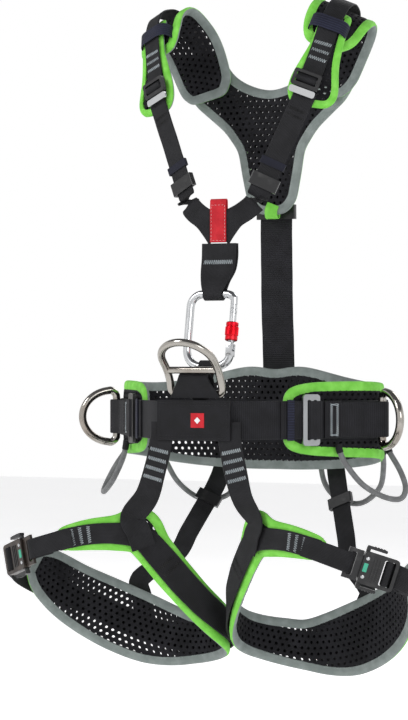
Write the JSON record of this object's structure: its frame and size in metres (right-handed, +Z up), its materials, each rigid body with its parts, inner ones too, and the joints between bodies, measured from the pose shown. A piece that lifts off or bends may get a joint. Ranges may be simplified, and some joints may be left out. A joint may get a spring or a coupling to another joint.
{
  "type": "tree climbing saddle",
  "caption": "Sit harness and chest harness in padded black webbing, joined in front by a screw-gate carabiner, with side and ventral attachment rings and buckled leg loops.",
  "frame": {"origin": "centre of the waist belt, where the wearer's waist is", "axes": "+Z up along the wearer's spine, +X to the wearer's left, the wearer faces -Y"},
  "size_m": [0.5202, 0.3053, 0.8176],
  "materials": {
    "webbing_black": "ribbed black polyester webbing, matt",
    "pad_black": "black perforated foam and mesh, matt",
    "label_red": "red woven label, matt",
    "polished_metal": "polished steel",
    "grey_alloy": "satin alloy",
    "buckle_black": "black coated, satin",
    "sleeve_red": "red anodised, knurled",
    "gear_loop_grey": "grey moulded tube, matt"
  },
  "bodies": {
    "harness": {"back_pad": "pad_black", "carabiner_body": "polished_metal", "chest_pad_L": "pad_black", "chest_pad_R": "pad_black", "chest_strap_L": "webbing_black", "chest_strap_R": "webbing_black", "d_ring_tab_L": "webbing_black", "d_ring_tab_R": "webbing_black", "dorsal_strap": "webbing_black", "front_panel": "webbing_black", "front_riser_L": "webbing_black", "front_riser_R": "webbing_black", "gate_pin": "polished_metal", "leg_buckle_socket_L": "buckle_black", "leg_buckle_socket_R": "buckle_black", "leg_pad_L": "pad_black", "leg_pad_R": "pad_black", "leg_webbing_L": "webbing_black", "leg_webbing_R": "webbing_black", "rear_riser_L": "webbing_black", "rear_riser_R": "webbing_black", "shoulder_buckle_L": "buckle_black", "shoulder_buckle_R": "buckle_black", "shoulder_pad_L": "pad_black", "shoulder_pad_R": "pad_black", "shoulder_webbing_L": "webbing_black", "shoulder_webbing_R": "webbing_black", "sternal_label": "label_red", "sternal_loop": "webbing_black", "tie_in_loop": "webbing_black", "waist_pad": "pad_black", "waist_webbing": "webbing_black"},
    "carabiner_gate": {"carabiner_gate": "polished_metal"},
    "carabiner_sleeve": {"carabiner_sleeve": "sleeve_red"},
    "ventral_ring": {"ventral_ring": "polished_metal", "ring_tongue": "webbing_black"},
    "d_ring_L": {"d_ring_L": "polished_metal"},
    "gear_loop_front_L": {"gear_loop_front_L": "gear_loop_grey"},
    "gear_loop_rear_L": {"gear_loop_rear_L": "gear_loop_grey"},
    "shoulder_lever_L": {"shoulder_lever_L": "grey_alloy"},
    "waist_buckle_L": {"waist_buckle_L": "grey_alloy"},
    "chest_adjuster_L": {"chest_adjuster_L": "buckle_black"},
    "chest_keeper_L": {"chest_keeper_L": "webbing_black"},
    "leg_buckle_tongue_L": {"leg_buckle_tongue_L": "buckle_black"},
    "release_lever_upper_L": {"release_lever_upper_L": "grey_alloy"},
    "release_lever_lower_L": {"release_lever_lower_L": "grey_alloy"},
    "rear_riser_adjuster_L": {"rear_riser_adjuster_L": "buckle_black"},
    "d_ring_R": {"d_ring_R": "polished_metal"},
    "gear_loop_front_R": {"gear_loop_front_R": "gear_loop_grey"},
    "gear_loop_rear_R": {"gear_loop_rear_R": "gear_loop_grey"},
    "shoulder_lever_R": {"shoulder_lever_R": "grey_alloy"},
    "waist_buckle_R": {"waist_buckle_R": "grey_alloy"},
    "chest_adjuster_R": {"chest_adjuster_R": "buckle_black"},
    "chest_keeper_R": {"chest_keeper_R": "webbing_black"},
    "leg_buckle_tongue_R": {"leg_buckle_tongue_R": "buckle_black"},
    "release_lever_upper_R": {"release_lever_upper_R": "grey_alloy"},
    "release_lever_lower_R": {"release_lever_lower_R": "grey_alloy"},
    "rear_riser_adjuster_R": {"rear_riser_adjuster_R": "buckle_black"},
    "dorsal_adjuster": {"dorsal_adjuster": "buckle_black"}
  },
  "joints": [
    {"name": "gate_pivot", "type": "hinge", "parent": "harness", "child": "carabiner_gate", "pos_m": [0.028, -0.06702, 0.08566], "axis": [0, 0.9816, -0.1908], "range_deg": [-28, 0], "stiffness_Nm_per_rad": 0.05, "springref_deg": 14.32},
    {"name": "sleeve_slide", "type": "slide", "parent": "carabiner_gate", "child": "carabiner_sleeve", "axis": [0, 0.1908, 0.9816], "range_m": [0, 0.0245]},
    {"name": "ventral_ring_pivot", "type": "hinge", "parent": "harness", "child": "ventral_ring", "pos_m": [0, -0.0995, 0.0305], "axis": [1, 0, 0], "range_deg": [-6, 50]},
    {"name": "d_ring_pivot_L", "type": "hinge", "parent": "harness", "child": "d_ring_L", "pos_m": [0.1769, 0.04, 0], "axis": [0, 0, 1], "range_deg": [-35, 50]},
    {"name": "gear_loop_front_swing_L", "type": "hinge", "parent": "harness", "child": "gear_loop_front_L", "pos_m": [0.13942, -0.00581, -0.0285], "axis": [-0.4122, -0.9111, 0], "range_deg": [0, 25], "stiffness_Nm_per_rad": 0.05},
    {"name": "gear_loop_rear_swing_L", "type": "hinge", "parent": "harness", "child": "gear_loop_rear_L", "pos_m": [0.15183, 0.10822, -0.03], "axis": [0.955, -0.2966, 0], "range_deg": [0, 25], "stiffness_Nm_per_rad": 0.05},
    {"name": "shoulder_lever_pivot_L", "type": "hinge", "parent": "harness", "child": "shoulder_lever_L", "pos_m": [0.09617, -0.0114, 0.38951], "axis": [-0.8838, -0.3043, 0.3555], "range_deg": [0, 55]},
    {"name": "waist_buckle_tilt_L", "type": "hinge", "parent": "harness", "child": "waist_buckle_L", "pos_m": [0.12236, -0.02934, 0], "axis": [0, 0, 1], "range_deg": [0, 15]},
    {"name": "chest_adjuster_slide_L", "type": "slide", "parent": "harness", "child": "chest_adjuster_L", "axis": [-0.3855, -0.1686, -0.9072], "range_m": [-0.008, 0]},
    {"name": "chest_keeper_slide_L", "type": "slide", "parent": "harness", "child": "chest_keeper_L", "axis": [-0.3855, -0.1686, -0.9072], "range_m": [-0.03, 0]},
    {"name": "leg_buckle_release_L", "type": "slide", "parent": "harness", "child": "leg_buckle_tongue_L", "axis": [-0.8302, -0.4641, 0.309], "range_m": [0, 0.018]},
    {"name": "release_lever_upper_pivot_L", "type": "hinge", "parent": "harness", "child": "release_lever_upper_L", "pos_m": [0.22217, -0.12045, -0.13808], "axis": [-0.4879, 0.8729, 0], "range_deg": [0, 6], "stiffness_Nm_per_rad": 0.08, "springref_deg": -2.86},
    {"name": "release_lever_lower_pivot_L", "type": "hinge", "parent": "harness", "child": "release_lever_lower_L", "pos_m": [0.20965, -0.12744, -0.18221], "axis": [0.4879, -0.8729, 0], "range_deg": [0, 6], "stiffness_Nm_per_rad": 0.08, "springref_deg": -2.86},
    {"name": "rear_riser_adjuster_slide_L", "type": "slide", "parent": "harness", "child": "rear_riser_adjuster_L", "axis": [0.325, -0.458, -0.8274], "range_m": [-0.008, 0.008]},
    {"name": "d_ring_pivot_R", "type": "hinge", "parent": "harness", "child": "d_ring_R", "pos_m": [-0.1769, 0.04, 0], "axis": [0, 0, -1], "range_deg": [-35, 50]},
    {"name": "gear_loop_front_swing_R", "type": "hinge", "parent": "harness", "child": "gear_loop_front_R", "pos_m": [-0.13942, -0.00581, -0.0285], "axis": [-0.4122, 0.9111, 0], "range_deg": [0, 25], "stiffness_Nm_per_rad": 0.05},
    {"name": "gear_loop_rear_swing_R", "type": "hinge", "parent": "harness", "child": "gear_loop_rear_R", "pos_m": [-0.15183, 0.10822, -0.03], "axis": [0.955, 0.2966, 0], "range_deg": [0, 25], "stiffness_Nm_per_rad": 0.05},
    {"name": "shoulder_lever_pivot_R", "type": "hinge", "parent": "harness", "child": "shoulder_lever_R", "pos_m": [-0.09617, -0.0114, 0.38951], "axis": [-0.8838, 0.3043, -0.3555], "range_deg": [0, 55]},
    {"name": "waist_buckle_tilt_R", "type": "hinge", "parent": "harness", "child": "waist_buckle_R", "pos_m": [-0.12236, -0.02934, 0], "axis": [0, 0, -1], "range_deg": [0, 15]},
    {"name": "chest_adjuster_slide_R", "type": "slide", "parent": "harness", "child": "chest_adjuster_R", "axis": [0.3855, -0.1686, -0.9072], "range_m": [-0.008, 0]},
    {"name": "chest_keeper_slide_R", "type": "slide", "parent": "harness", "child": "chest_keeper_R", "axis": [0.3855, -0.1686, -0.9072], "range_m": [-0.03, 0]},
    {"name": "leg_buckle_release_R", "type": "slide", "parent": "harness", "child": "leg_buckle_tongue_R", "axis": [0.8302, -0.4641, 0.309], "range_m": [0, 0.018]},
    {"name": "release_lever_upper_pivot_R", "type": "hinge", "parent": "harness", "child": "release_lever_upper_R", "pos_m": [-0.22217, -0.12045, -0.13808], "axis": [-0.4879, -0.8729, 0], "range_deg": [0, 6], "stiffness_Nm_per_rad": 0.08, "springref_deg": -2.86},
    {"name": "release_lever_lower_pivot_R", "type": "hinge", "parent": "harness", "child": "release_lever_lower_R", "pos_m": [-0.20965, -0.12744, -0.18221], "axis": [0.4879, 0.8729, 0], "range_deg": [0, 6], "stiffness_Nm_per_rad": 0.08, "springref_deg": -2.86},
    {"name": "rear_riser_adjuster_slide_R", "type": "slide", "parent": "harness", "child": "rear_riser_adjuster_R", "axis": [-0.325, -0.458, -0.8274], "range_m": [-0.008, 0.008]},
    {"name": "dorsal_adjuster_slide", "type": "slide", "parent": "harness", "child": "dorsal_adjuster", "axis": [0, 0.0184, -0.9998], "range_m": [-0.01, 0.01]}
  ]
}
